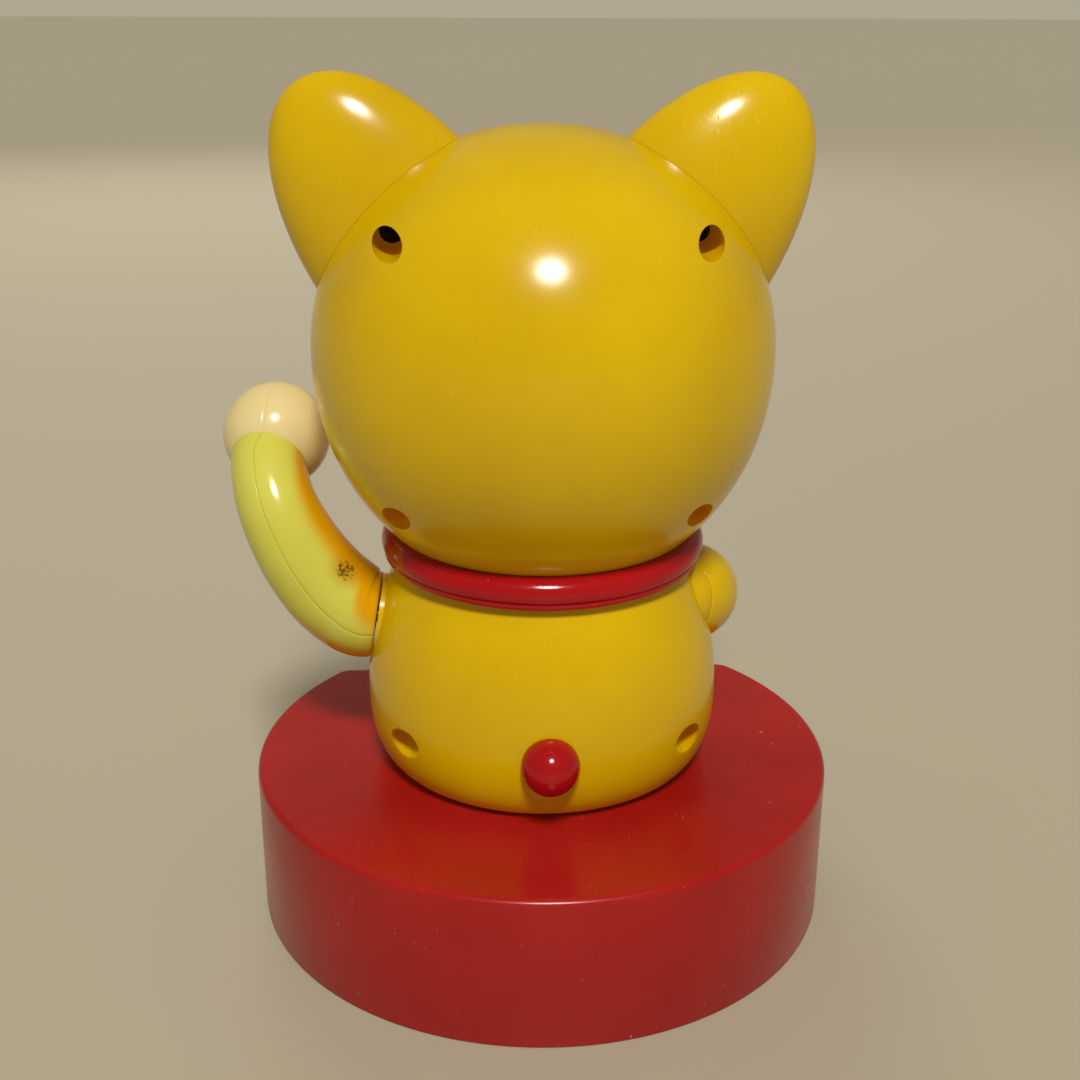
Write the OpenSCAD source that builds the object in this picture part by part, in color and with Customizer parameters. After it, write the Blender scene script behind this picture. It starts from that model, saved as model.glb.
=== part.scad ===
// Beckoning cat toy: a yellow figure on a red D-shaped base that holds a clockwork motor.
// The front faces -Y, the raised arm is at +X, and the origin is the centre of the base's arc
// on the face that the toy rests on. All sizes are in millimetres.

/* [Base] */
// Radius of the round part of the base
base_r = 60; // [58:0.5:64]
// Distance from the arc's centre to the flat front
base_front = 39; // [38.5:0.5:42]
// Height of the base
base_h = 31.4; // [31:0.1:34]
// Wall of the base
base_wall = 2.2; // [1.8:0.1:2.4]

/* [Body] */
// Widest radius of the body
body_r = 36.2; // [35.5:0.1:37]
// Radius where the body meets the base
body_foot_r = 27.5; // [26.5:0.5:28.5]
// Height of the widest point above the table
body_belly_z = 47.2; // [46:0.2:49]
// Wall of the body
body_wall = 2.2; // [1.8:0.1:2.4]

/* [Head] */
// Radius of the head seen from above
head_r = 44.8; // [44:0.2:46]
// Height of the head's widest point above the table
head_z = 117.5; // [117:0.5:119]
// Height of the head above its widest point
head_up = 42.3; // [41:0.1:44]
// Depth of the head below its widest point
head_down = 47; // [46:0.5:48]
// Wall of the head
head_wall = 2.2; // [1.8:0.1:2.4]

/* [Ears] */
// Half length of an ear's egg shape
ear_long = 40.1; // [38:0.1:41]
// Half width of an ear
ear_wide = 20.3; // [19:0.1:21]
// Half thickness of an ear
ear_thick = 11.5; // [10:0.1:12.5]
// Lean of an ear from the horizontal
ear_tilt = 54.4; // [52:0.2:57]

/* [Arm] */
// Radius of the arm at the shoulder
shoulder_r = 8.8; // [8.4:0.1:9]
// Radius of the raised paw
paw_r = 11.1; // [10.6:0.1:11.3]
// Tilt of the shoulder axis above the horizontal
shoulder_tilt = 9; // [8:0.5:10]
// Length of the lever on the arm's shaft
lever_len = 14; // [13.9:0.05:14.1]

/* [Motor] */
// Throw of the crank pin
crank_throw = 7.15; // [7.1:0.05:7.2]
// Teeth of the four wheels that drive a pinion
wheel_teeth = 30; // [28:1:30]

/* [Hidden] */
$fn = 64;
far = 200;
gap = 0.05;
slow_module = 0.8;
fast_module = 0.6;
pinion_teeth = 8;

yellow = "gold";
red = "firebrick";
cream = "moccasin";
steel = "silver";
brass = "goldenrod";

// ---- shared shapes ----

// A round bar along Y, from y0 to y1.
module y_rod(x, z, y0, y1, r) {
    translate([x, y1, z]) rotate([90, 0, 0]) cylinder(h = y1 - y0, r = r);
}

// A flat outline in X and Z, extruded from y0 to y1.
module y_slab(y0, y1) {
    translate([0, y1, 0]) rotate([90, 0, 0]) linear_extrude(y1 - y0) children();
}

// The half space behind y, and the half space in front of it.
module behind(y) { translate([-far, y, -far]) cube([2 * far, far, 2 * far]); }
module before(y) { translate([-far, y - far, -far]) cube([2 * far, far, 2 * far]); }

// A pan-head screw along -Z, its head's seat at the origin.
module screw(head_r, head_h, shank_r, length) {
    slot = min(0.8, head_h / 2);
    difference() {
        union() {
            cylinder(h = head_h, r = head_r);
            translate([0, 0, -length]) cylinder(h = length + 0.1, r = shank_r);
        }
        for (a = [0, 90]) rotate(a)
            translate([-head_r * 0.6, -0.35, head_h - slot]) cube([head_r * 1.2, 0.7, 1]);
    }
}
module screw_towards_front(x, y, z, length) {
    translate([x, y, z]) rotate([-90, 0, 0]) screw(2.4, 1.7, 1.15, length);
}
module screw_upwards(x, y, z, length) {
    translate([x, y, z]) rotate([180, 0, 0]) screw(2.6, 1.8, 1.25, length);
}
// A low-head screw sunk in the underside of the cover, clear of the table.
module screw_in_cover(x, y, length) {
    translate([x, y, 1]) rotate([180, 0, 0]) screw(2.6, 0.9, 1.25, length);
}

// ---- base ----
front_y = -base_front;
corner_r = 4;
edge_r = 1.3;
corner_x = sqrt(pow(base_r - corner_r, 2) - pow(base_front - corner_r, 2));
tangent_y = -(base_front - corner_r) * base_r / (base_r - corner_r);

// A disc with a rounded top edge.
module soft_disc(r, h, edge) {
    rotate_extrude() union() {
        square([r, h - edge]);
        square([r - edge, h]);
        intersection() {
            translate([r - edge, h - edge]) circle(edge);
            square([r, h]);
        }
    }
}

// The D shape: an arc, a flat front and two small corner rounds.
module d_block(inset, h, edge) {
    r = base_r - inset;
    c = corner_r - min(inset, corner_r - 1.2);
    intersection() {
        soft_disc(r, h, edge);
        behind(tangent_y + inset * 0.63);
    }
    for (s = [-1, 1]) translate([s * corner_x, front_y + corner_r, 0]) soft_disc(c, h, min(edge, c / 2));
    intersection() {
        translate([-corner_x, front_y + inset, 0]) cube([2 * corner_x, 8, h]);
        translate([-far, front_y + inset, 0]) rotate([90, 0, 90]) linear_extrude(2 * far) union() {
            translate([edge, 0]) square([20, h]);
            square([20, h - edge]);
            intersection() {
                translate([edge, h - edge]) circle(edge);
                square([20, h]);
            }
        }
    }
}
cover_t = 2;
cover_bosses = [[-47, -8], [47, -8], [-28, 42], [28, 42]];
figure_bosses = [[15, 14], [-15, 14], [-14, -11]];
rod_x = 16;
rod_y = -13.9;
motor_z = 15.6;
second_z = 19.1;
slow_span = slow_module * (wheel_teeth + pinion_teeth) / 2;
fast_span = fast_module * (wheel_teeth + pinion_teeth) / 2;
function run(span) = sqrt(pow(span, 2) - pow(second_z - motor_z, 2));
crank_x = rod_x - crank_throw;
second_x = crank_x - run(fast_span);
great_x = second_x - run(slow_span);
fourth_x = crank_x + run(fast_span);
governor_x = fourth_x + run(fast_span);
motor_screw_x = [-24, 34];
motor_flange_y = -12.5;
bracket_pads = [[2, 51], [2, 66]];

module base_shell() {
    color(red) difference() {
        union() {
            difference() {
                d_block(0, base_h, edge_r);
                translate([0, 0, -1]) d_block(base_wall, base_h - base_wall + 1, 0.01);
            }
            for (b = cover_bosses) translate([b[0], b[1], cover_t + gap]) cylinder(h = base_h - cover_t - 1, r = 4);
        }
        for (b = cover_bosses) translate([b[0], b[1], -1]) cylinder(h = 20, r = 1.3);
        for (b = figure_bosses) translate([b[0], b[1], base_h - 5]) cylinder(h = 10, r = 1.5);
        translate([rod_x, rod_y, base_h - 5]) cylinder(h = 10, r = 5);
        y_rod(great_x, motor_z, front_y - 1, front_y + 5, 2.8);
    }
}

module base_cover() {
    color(red) difference() {
        union() {
            d_block(base_wall + 0.15, cover_t, 0.3);
            for (x = motor_screw_x) translate([x, motor_flange_y, cover_t - 0.5]) cylinder(h = 1.5, r = 3.2);
        }
        for (b = cover_bosses) translate([b[0], b[1], -1]) {
            cylinder(h = 5, r = 1.5);
            cylinder(h = 2, r = 3);
        }
        for (x = motor_screw_x) translate([x, motor_flange_y, -1]) {
            cylinder(h = 6, r = 1.5);
            cylinder(h = 2, r = 3);
        }
    }
}
module cover_screws() {
    color(steel) for (b = cover_bosses) screw_in_cover(b[0], b[1], 9);
}

// ---- body: a turned outline ----
body_top = 76.5;
body_floor = 2.2;
belly_power = 2.4;
taper = 8.2;
taper_span = 30.8;
function belly_point(t, wall, foot) = let (rm = body_r - wall, rb = body_foot_r - wall, zb = base_h + foot)
    [rb + (rm - rb) * pow(cos(t), 2 / belly_power), body_belly_z - (body_belly_z - zb) * pow(sin(t), 2 / belly_power)];
function taper_point(z, wall) = [body_r - wall - taper * pow((z - body_belly_z) / taper_span, 2), z];
module body_form(wall, foot, top) {
    steps = 9;
    rotate_extrude($fn = 96) polygon(concat(
        [[0, base_h + foot]],
        [for (i = [0:steps]) belly_point(90 * (1 - i / steps), wall, foot)],
        [for (i = [1:steps]) taper_point(body_belly_z + (top - body_belly_z) * i / steps, wall)],
        [[0, top]]));
}
body_well_x = 28;
body_well_z = 43.7;
well_r = 2.8;
well_floor_y = 6;
seam = 0.05;
spool_r = 12;

// Where the shaft of the raised arm leaves the body.
shoulder = [34.2, 0, 61.8];
module at_shoulder() { translate(shoulder) rotate([0, 90 - shoulder_tilt, 0]) children(); }
bush_flange_r = 6.5;

module body_shell() {
    difference() {
        union() {
            difference() {
                body_form(0, 0, body_top);
                body_form(body_wall, body_floor, body_top - body_wall);
            }
            intersection() {
                body_form(0.3, 0, body_top);
                for (s = [-1, 1]) y_rod(s * body_well_x, body_well_z, -18, 40, 4.4);
            }
            for (b = figure_bosses) translate([b[0], b[1], base_h + 0.5]) cylinder(h = 11, r = 3.4);
            intersection() {
                body_form(0.3, 0, body_top);
                for (p = bracket_pads) y_rod(p[0], p[1], 4, 40, 2.8);
            }
            intersection() {
                at_shoulder() translate([0, 0, -9]) cylinder(h = 9, r = shoulder_r + 1.2);
                union() {
                    body_form(0, 0, body_top - 1);
                    at_shoulder() translate([0, 0, -9]) cylinder(h = 9 - 0.35, r = shoulder_r);
                }
            }
        }
        // spot face, bush bore and shaft way
        at_shoulder() {
            translate([0, 0, -0.35]) cylinder(h = 12, r = shoulder_r + 1.4);
            translate([0, 0, -12]) cylinder(h = 14, r = 4);
            translate([0, 0, -2.4]) cylinder(h = 4, r = bush_flange_r + 0.05);
        }
        for (b = figure_bosses) translate([b[0], b[1], base_h - 1]) cylinder(h = 10.5, r = 1.1);
        translate([rod_x, rod_y, base_h - 1]) cylinder(h = 6, r = 5);
        translate([0, 0, body_top - 5]) cylinder(h = 10, r = spool_r + gap);
        y_rod(0, tail_z, 20, 60, 1.5);
        translate([0, 0, base_h - 1]) cylinder(h = 5, r = 5);
    }
}
module body_rear() {
    color(yellow) difference() {
        intersection() { body_shell(); behind(seam); }
        for (s = [-1, 1]) {
            y_rod(s * body_well_x, body_well_z, well_floor_y, 60, well_r);
            y_rod(s * body_well_x, body_well_z, -1, 10, 1.35);
        }
        for (p = bracket_pads) y_rod(p[0], p[1], 3, 12, 0.95);
    }
}
module body_front() {
    color(yellow) difference() {
        intersection() { body_shell(); before(-seam); }
        for (s = [-1, 1]) y_rod(s * body_well_x, body_well_z, -14, 1, 1.05);
    }
}
module body_screws() {
    color(steel) for (s = [-1, 1]) screw_towards_front(s * body_well_x, well_floor_y, body_well_z, 14);
}
module figure_screws() {
    color(steel) for (b = figure_bosses) screw_upwards(b[0], b[1], base_h - base_wall, 11);
}
tail_z = 45.7;
tail_y = 37;
tail_r = 5.6;
module tail_ball() {
    color(red) difference() {
        translate([0, tail_y, tail_z]) sphere(tail_r);
        body_form(-gap, 0, body_top);
        y_rod(0, tail_z, 30, tail_y + 1, 1.1);
    }
}
module tail_screw() {
    color(steel) translate([0, body_r - body_wall - 0.15, tail_z]) rotate([90, 0, 0]) screw(2.4, 1.5, 1.05, 5);
}

// ---- collar and neck ----
head_cut = 77;
head_power = 2.07;
function head_up_point(t, wall) = [(head_r - wall) * pow(cos(t), 2 / head_power),
    head_z + (head_up - wall) * pow(sin(t), 2 / head_power)];
function head_down_point(t, wall) = [(head_r - wall) * pow(cos(t), 2 / head_power),
    head_z - (head_down - wall) * pow(sin(t), 2 / head_power)];
module head_form(wall, cut) {
    steps = 13;
    intersection() {
        rotate_extrude($fn = 96) polygon(concat(
            [for (i = [0:steps]) head_down_point(90 * (1 - i / steps), wall)],
            [for (i = [1:steps - 1]) head_up_point(90 * i / steps, wall)],
            [[0, head_z + head_up - wall]]));
        translate([-far, -far, cut]) cube(2 * far);
    }
}
module collar() {
    color(red) difference() {
        union() {
            translate([0, 0, 78.9]) rotate([-2.3, 0, 0]) rotate_extrude($fn = 96) union() {
                translate([29.4, 0.4]) circle(3.2);
                translate([31.2, -1.6]) circle(1);
                translate([22, -2.8]) square([7.4, 6.4]);
            }
            translate([0, 0, body_top + gap]) cylinder(h = head_cut - body_top - 2 * gap, r = 26);
        }
        body_form(-gap, 0, body_top + gap);
        head_form(-gap, head_cut - gap);
        translate([0, 0, 60]) cylinder(h = 40, r = spool_r + gap);
    }
}
module neck_spool() {
    color(yellow) difference() {
        union() {
            translate([0, 0, 72]) cylinder(h = 9.4, r = spool_r);
            translate([0, 0, 72.2]) cylinder(h = 2, r = spool_r + 3);
            translate([0, 0, head_cut + head_wall + gap]) cylinder(h = 2, r = spool_r + 3);
        }
        translate([0, 0, 70]) cylinder(h = 20, r = spool_r - 2);
    }
}

// ---- head ----
head_wells = [[28.3, 141.3], [28.2, 91.3]];
head_well_floor = 5;
module head_shell() {
    difference() {
        union() {
            difference() {
                head_form(0, head_cut);
                head_form(head_wall, head_cut + head_wall);
            }
            intersection() {
                head_form(0.3, head_cut + 0.3);
                for (s = [-1, 1], w = head_wells) y_rod(s * w[0], w[1], -14, 40, 4.4);
            }
        }
        translate([0, 0, head_cut - 1]) cylinder(h = 5, r = spool_r + gap);
    }
}
module head_rear() {
    color(yellow) difference() {
        intersection() { head_shell(); behind(seam); }
        for (s = [-1, 1], w = head_wells) {
            y_rod(s * w[0], w[1], head_well_floor, 60, well_r);
            y_rod(s * w[0], w[1], -1, 10, 1.35);
        }
    }
}
module head_front() {
    color(yellow) difference() {
        intersection() { head_shell(); before(-seam); }
        for (s = [-1, 1], w = head_wells) y_rod(s * w[0], w[1], -12, 1, 1.05);
    }
}
module head_screws() {
    color(steel) for (s = [-1, 1], w = head_wells) screw_towards_front(s * w[0], head_well_floor, w[1], 14);
}

// ---- ears: egg shapes cut to the head, hollow and open towards it ----
module ear_form(side, wall) {
    translate([side * 22.4, 0, 134.4]) rotate([0, -side * ear_tilt, 0])
        scale([ear_long - wall, ear_thick - wall, ear_wide - wall]) sphere(1);
}
module ear(side) {
    difference() {
        ear_form(side, 0);
        ear_form(side, 2);
        head_form(-gap, head_cut);
    }
}
module ear_left() { color(yellow) ear(1); }
module ear_right() { color(yellow) ear(-1); }
module ear_lining(side) {
    difference() {
        intersection() {
            ear_form(side, -0.5);
            translate([side * 22.4, 0, 134.4]) rotate([0, -side * ear_tilt, 0])
                translate([side * 6, 0, 0]) rotate([90, 0, 0]) linear_extrude(30)
                    polygon([for (a = [0:10:350]) [25 * cos(a), 11 * sin(a)]]);
        }
        ear_form(side, -gap);
        head_form(-1, head_cut);
    }
}
module ear_lining_left() { color(cream) ear_lining(1); }
module ear_lining_right() { color(cream) ear_lining(-1); }

// ---- face: thin printed pads on the front of the head ----
module pad(t) {
    difference() {
        intersection() {
            head_form(-t, head_cut);
            y_slab(-60, -20) children();
        }
        head_form(-gap, head_cut - 1);
    }
}
module stadium(r, h) {
    translate([0, h / 2 - r]) circle(r);
    translate([0, r - h / 2]) circle(r);
    square([2 * r, h - 2 * r], center = true);
}
module eye(side) { pad(0.5) translate([side * 15, 119]) stadium(3.4, 11); }
module eye_left() { color("black") eye(1); }
module eye_right() { color("black") eye(-1); }
module nose() {
    color("saddlebrown") difference() {
        translate([0, -43.8, 108]) sphere(2.6);
        head_form(-gap, head_cut);
    }
}
module mouth() {
    color("saddlebrown") pad(0.4) for (s = [-1, 1]) translate([s * 3.4, 102.6]) difference() {
        circle(3.8);
        circle(3);
        translate([-5, 0.2]) square(10);
    }
}
module whiskers() {
    color("saddlebrown") pad(0.4) for (s = [-1, 1], k = [0, 1])
        translate([s * 29, 109 - 7 * k]) rotate(s * (4 - 10 * k)) square([13, 0.9], center = true);
}

// ---- swept limbs ----
// Points along a smooth path through knots; each knot is [x, y, z, radius].
function spline(p, i, t) = let (n = len(p), a = p[max(i - 1, 0)], b = p[i], c = p[i + 1], d = p[min(i + 2, n - 1)])
    0.5 * ((2 * b) + (c - a) * t + (2 * a - 5 * b + 4 * c - d) * t * t + (3 * b - a - 3 * c + d) * t * t * t);
function path(p, k) = concat([for (i = [0:len(p) - 2], j = [0:k - 1]) spline(p, i, j / k)], [p[len(p) - 1]]);
function unit(v) = v / norm(v);
function place(q) = [q[0], q[1], q[2]];
function heading(q, i) = unit(place(q[min(i + 1, len(q) - 1)]) - place(q[max(i - 1, 0)]));
module sweep(q, first, shrink, sides) {
    n = len(q);
    ring = [for (i = [0:n - 1]) let (
        h = i == 0 ? first : heading(q, i),
        u = unit(cross([0, 1, 0], h)),
        v = cross(h, u),
        r = q[i][3] - shrink)
        for (j = [0:sides - 1]) place(q[i]) + r * (u * cos(360 * j / sides) + v * sin(360 * j / sides))];
    polyhedron(ring, concat(
        [[for (j = [0:sides - 1]) j]],
        [for (i = [0:n - 2], j = [0:sides - 1]) let (k = (j + 1) % sides)
            [i * sides + k, i * sides + j, (i + 1) * sides + j]],
        [for (i = [0:n - 2], j = [0:sides - 1]) let (k = (j + 1) % sides)
            [i * sides + k, (i + 1) * sides + j, (i + 1) * sides + k]],
        [[for (j = [sides - 1:-1:0]) (n - 1) * sides + j]]));
}
left_knots = [concat(shoulder, shoulder_r), [37.3, -0.2, 62.5, 9.5], [40.7, -0.8, 64.6, 9.7], [44.8, -1.2, 68.6, 9.5],
    [49.6, -2, 75.6, 8.9], [53.9, -4.5, 84.3, 8.1], [56, -10, 91.4, 7.6], [55.6, -15, 94.4, 7.4]];
paw_at = [55, -18, 95.5];
axis_out = [cos(shoulder_tilt), 0, sin(shoulder_tilt)];
left_path = path(left_knots, 3);
// The mould seam runs along the rear and the front of the arm, just outside its middle.
seam_shift = [0.15, -1.25];
module arm_outer_side(shift) {
    y_slab(-60, 40) polygon(concat(
        [[30, 20], [30, shoulder[2] + seam_shift[1] - shift]],
        [for (q = left_path) [q[0] + (seam_shift[0] + shift) * 1, q[2] + seam_shift[1] - shift]
            + [1.1, 0.4] * min(max((q[2] - 66) / 12, 0), 1)],
        [[57.5, 99], [57.5, 140], [90, 140], [90, 20]]));
}
module arm_shell() {
    difference() {
        sweep(left_path, axis_out, 0, 28);
        difference() {
            sweep(left_path, axis_out, 2, 28);
            at_shoulder() translate([0, 0, -5]) cylinder(h = 7, r = 20);
        }
        translate(paw_at) sphere(paw_r + gap);
    }
}
module arm_outer() {
    color("khaki") difference() {
        intersection() { arm_shell(); arm_outer_side(gap); }
        at_shoulder() translate([0, 0, -1]) cylinder(h = 12, r = 4.05);
    }
}
module arm_inner() {
    color("khaki") difference() {
        union() {
            difference() { arm_shell(); arm_outer_side(0); }
            at_shoulder() translate([0, 0, 0.7]) cylinder(h = 8.3, r = 4);
        }
        at_shoulder() translate([0, 0, -1]) cylinder(h = 9, r = shaft_r);
    }
}
module left_paw() { color(cream) translate(paw_at) sphere(paw_r); }

right_knots = [[-27, 3, 66.4, 8.8], [-30.6, -2, 65.2, 10.2], [-31.6, -11, 62.2, 9.6], [-28.6, -23, 58.6, 8.6],
    [-21.5, -32, 55.4, 7.8]];
right_paw_at = [-15.5, -36.6, 53.6];
module right_arm() {
    color(yellow) difference() {
        sweep(path(right_knots, 4), unit([-4, -6, -0.6]), 0, 28);
        body_form(-gap, 0, body_top);
        translate(right_paw_at) sphere(8.2 + gap);
    }
}
module right_paw() {
    color(cream) difference() {
        translate(right_paw_at) sphere(8.2);
        body_form(-gap, 0, body_top);
    }
}
module foot(side) {
    difference() {
        translate([side * 15, -28.8, base_h + 6.4]) sphere(8.6);
        body_form(-gap, 0, body_top);
        translate([-far, -far, base_h + gap - 2 * far]) cube(2 * far);
    }
}
module foot_left() { color(cream) foot(1); }
module foot_right() { color(cream) foot(-1); }

// ---- the arm's shaft, in the shoulder's own frame: +Z points out of the body ----
shaft_r = 1.5;
shaft_in = 27;
bracket_at = -24.5;
lever_at = -15;
pin_at = -18.4;
module shoulder_bush() {
    color(brass) at_shoulder() difference() {
        union() {
            translate([0, 0, -2.35]) cylinder(h = 1.6, r = bush_flange_r);
            translate([0, 0, -11]) cylinder(h = 9, r = 3.95);
        }
        translate([0, 0, -12]) cylinder(h = 14, r = shaft_r + 0.06);
    }
}
module arm_shaft() {
    color(steel) at_shoulder() difference() {
        translate([0, 0, -shaft_in]) cylinder(h = shaft_in + 7.9, r = shaft_r);
        translate([0, 0, bracket_at - 2.4 - 0.9]) difference() {
            cylinder(h = 0.6, r = 2);
            translate([0, 0, -1]) cylinder(h = 3, r = 1.1);
        }
    }
}
module shaft_clip() {
    color(steel) at_shoulder() translate([0, 0, bracket_at - 2.4 - 0.85]) difference() {
        cylinder(h = 0.5, r = 2.8);
        translate([0, 0, -1]) cylinder(h = 3, r = 1.15);
        translate([-0.8, 0, -1]) cube([1.6, 5, 3]);
    }
}
module shaft_lever() {
    color(brass) at_shoulder() {
        difference() {
            union() {
                translate([0, 0, lever_at - 1]) cylinder(h = 3, r = 3.2);
                translate([-2, -lever_len, lever_at - 1]) cube([4, lever_len, 1.6]);
                translate([0, -lever_len, lever_at - 1]) cylinder(h = 1.6, r = 2);
                translate([0, -lever_len, pin_at - 2.4]) cylinder(h = lever_at - pin_at + 2, r = 1);
            }
            translate([0, 0, lever_at - 2]) cylinder(h = 6, r = shaft_r);
        }
    }
}
module shaft_bracket() {
    color(steel) difference() {
        union() {
            y_slab(2.2, 3.95) {
                for (p = bracket_pads) translate([p[0], p[1]]) circle(3.2);
                translate([-1.2, 51]) square([6.4, 15]);
                translate([2, 53]) square([8, 11]);
            }
            at_shoulder() translate([-3.6, -3.6, bracket_at - 2]) cube([7.2, 7.5, 4]);
        }
        at_shoulder() translate([0, 0, -40]) cylinder(h = 24, r = shaft_r + 0.06);
        at_shoulder() translate([0, 0, bracket_at - 5.2]) cylinder(h = 3.1, r = 3.4);
        for (p = bracket_pads) y_rod(p[0], p[1], 0, 6, 1.3);
    }
}
module bracket_screws() {
    color(steel) for (p = bracket_pads) translate([p[0], 2.2, p[1]]) rotate([90, 0, 0]) screw(2.2, 1.4, 0.95, 9);
}

// ---- motor: two plates in X and Z, arbors along Y ----
front_plate_y = -35.6;
rear_plate_y = -17.5;
plate_t = 0.8;
plate_x0 = great_x - 14.5;
plate_x1 = governor_x + 9;
pillar_spots = [[plate_x0 + 2, 5.8], [plate_x0 + 2, 25.6], [plate_x1 - 2, 5.8], [plate_x1 - 2, 25.6]];
arbor_r = 1;
arbors = [[second_x, second_z], [crank_x, motor_z], [fourth_x, second_z], [governor_x, motor_z]];
module plate_outline() {
    difference() {
        translate([plate_x0, 3.8]) square([plate_x1 - plate_x0, 24.4]);
        translate([great_x, motor_z]) circle(2.05);
        for (a = arbors) translate(a) circle(arbor_r + 0.05);
        for (p = pillar_spots) translate(p) circle(1.05);
    }
}
module motor_front_plate() { color(steel) y_slab(front_plate_y, front_plate_y + plate_t) plate_outline(); }
module motor_rear_plate() {
    color(steel) difference() {
        union() {
            y_slab(rear_plate_y, rear_plate_y + plate_t) plate_outline();
            for (x = motor_screw_x) translate([x - 4, rear_plate_y, 3.05]) cube([8, -9 - rear_plate_y, 0.8]);
        }
        for (x = motor_screw_x) translate([x, motor_flange_y, 0]) cylinder(h = 10, r = 1.1);
    }
}
module motor_pillars() {
    color(steel) for (p = pillar_spots) {
        y_rod(p[0], p[1], front_plate_y + plate_t + 0.02, rear_plate_y - 0.02, 1.7);
        y_rod(p[0], p[1], front_plate_y - 0.6, rear_plate_y + plate_t + 0.6, 1);
    }
}
module motor_screws() {
    color(steel) for (x = motor_screw_x) screw_in_cover(x, motor_flange_y, 5.5);
}
function coil_point(a, w) = let (r = 3.1 + 8 * a / 1440 + w) [great_x + r * cos(a), motor_z + r * sin(a)];
module mainspring() {
    color("dimgray") y_slab(-30.5, -24.6) polygon(concat(
        [for (a = [0:20:1440]) coil_point(a, 0)],
        [for (a = [1440:-20:0]) coil_point(a, 0.4)]));
}
module rod_guide() {
    color(brass) difference() {
        translate([rod_x - 6, -16.6, 24.5]) cube([12, 5.4, 3.2]);
        translate([rod_x - 2.6, rod_y - 1, 20]) cube([5.2, 2, 10]);
        translate([rod_x - 7, -16.7, 24]) cube([2, 6, 2]);
    }
}

// ---- gears ----
// One tooth as corner points: [radius, half width at that radius].
function tooth(m, n, slack) = let (r = m * n / 2, w = m * 3.1416 / 4 - slack)
    [[r - 1.15 * m, w * 1.3], [r - 0.5 * m, w * 1.22], [r, w], [r + 0.45 * m, w * 0.72], [r + 0.82 * m, w * 0.4]];
module gear_outline(m, n, phase, slack) {
    t = tooth(m, n, slack);
    function corner(a, p, s) = p[0] * [cos(a + s * p[1] / p[0] * 57.2958), sin(a + s * p[1] / p[0] * 57.2958)];
    polygon([for (i = [0:n - 1], k = [0:9]) let (a = phase + 360 * i / n)
        k < 5 ? corner(a, t[k], -1) : corner(a, t[9 - k], 1)]);
}
module wheel_at(x, z, y0, y1, m, phase, bore) {
    y_slab(y0, y1) translate([x, z]) difference() {
        gear_outline(m, wheel_teeth, phase, 0.06);
        circle(bore);
        if (m < 0.7) for (a = [0:60:300]) rotate(a) translate([5, 0]) circle(1.5, $fn = 24);
    }
}
module pinion_on(x, z, y0, y1, m, phase) {
    y_slab(y0, y1) translate([x, z]) gear_outline(m, pinion_teeth, phase + 180 / pinion_teeth, 0.06);
}
up = atan2(second_z - motor_z, run(fast_span));
up_slow = atan2(second_z - motor_z, run(slow_span));

module winding_arbor() {
    color(steel) difference() {
        union() {
            y_rod(great_x, motor_z, -56, rear_plate_y + 1.6, 2);
            y_rod(great_x, motor_z, -30.4, -24.7, 2.6);
        }
        translate([great_x - 3, -57, motor_z + 1.3]) cube([6, 9, 3]);
    }
}
module winding_key() {
    color(steel) difference() {
        union() {
            y_rod(great_x, motor_z, -57.4, -41.2, 3.4);
            y_slab(-58.4, -56.6) translate([great_x, motor_z]) for (s = [-1, 1]) translate([s * 8.4, 0]) circle(6.6);
            y_slab(-58.4, -56.6) translate([great_x - 3, motor_z - 3.4]) square([6, 6.8]);
        }
        for (s = [-1, 1]) y_rod(great_x + s * 8.6, motor_z, -60, -50, 3.6);
        difference() {
            y_rod(great_x, motor_z, -56, -40, 2);
            translate([great_x - 3, -57, motor_z + 1.3]) cube([6, 9, 3]);
        }
    }
}
module ratchet_wheel() {
    color(steel) y_slab(-34.3, -33.3) translate([great_x, motor_z]) difference() {
        polygon([for (i = [0:11], k = [0, 1]) let (a = 30 * i + (k == 0 ? 0 : 2), r = k == 0 ? 5 : 4)
            r * [cos(a), sin(a)]]);
        circle(2);
    }
}
module great_wheel() {
    color(brass) difference() {
        wheel_at(great_x, motor_z, -32.9, -31.5, slow_module, up_slow, 2.06);
        y_rod(great_x + click_x, motor_z, -33, -31, 0.8);
    }
}
click_x = 8.2;
module click_stud() {
    color(steel) y_rod(great_x + click_x, motor_z, -34.35, -31.5, 0.8);
}
module click() {
    color(steel) y_slab(-34.2, -33.3) translate([great_x + click_x, motor_z]) difference() {
        union() {
            circle(1.6);
            polygon([[-4.1, -1.65], [-3.95, -2.1], [-0.6, -1.3], [0.7, -1.05], [2.2, -3.2], [2.6, -3], [1.2, 0.2],
                [0.3, 1.1], [-0.6, 1]]);
        }
        circle(0.86);
    }
}
module second_wheel() {
    color(brass) wheel_at(second_x, second_z, -23.4, -22.4, fast_module, -up, arbor_r);
}
module arbor(x, z, y0, y1) { y_rod(x, z, y0, y1, arbor_r); }
module second_arbor() {
    color(steel) {
        arbor(second_x, second_z, front_plate_y - 0.4, rear_plate_y + plate_t + 0.4);
        pinion_on(second_x, second_z, -33.4, -31, slow_module, 180 + up_slow);
    }
}
module crank_wheel() { color(brass) wheel_at(crank_x, motor_z, -28.4, -27.4, fast_module, up, arbor_r); }
module crank_arbor() {
    color(steel) {
        arbor(crank_x, motor_z, front_plate_y - 0.4, -14.8);
        pinion_on(crank_x, motor_z, -24, -21.8, fast_module, 180 - up);
    }
}
module crank_disc() {
    color(brass) {
        difference() {
            y_rod(crank_x, motor_z, -16.2, -15, crank_throw + 1.9);
            y_rod(crank_x, motor_z, -20, -10, arbor_r);
        }
        y_rod(rod_x, motor_z, -15.1, -12.9, 1.1);
    }
}
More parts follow.
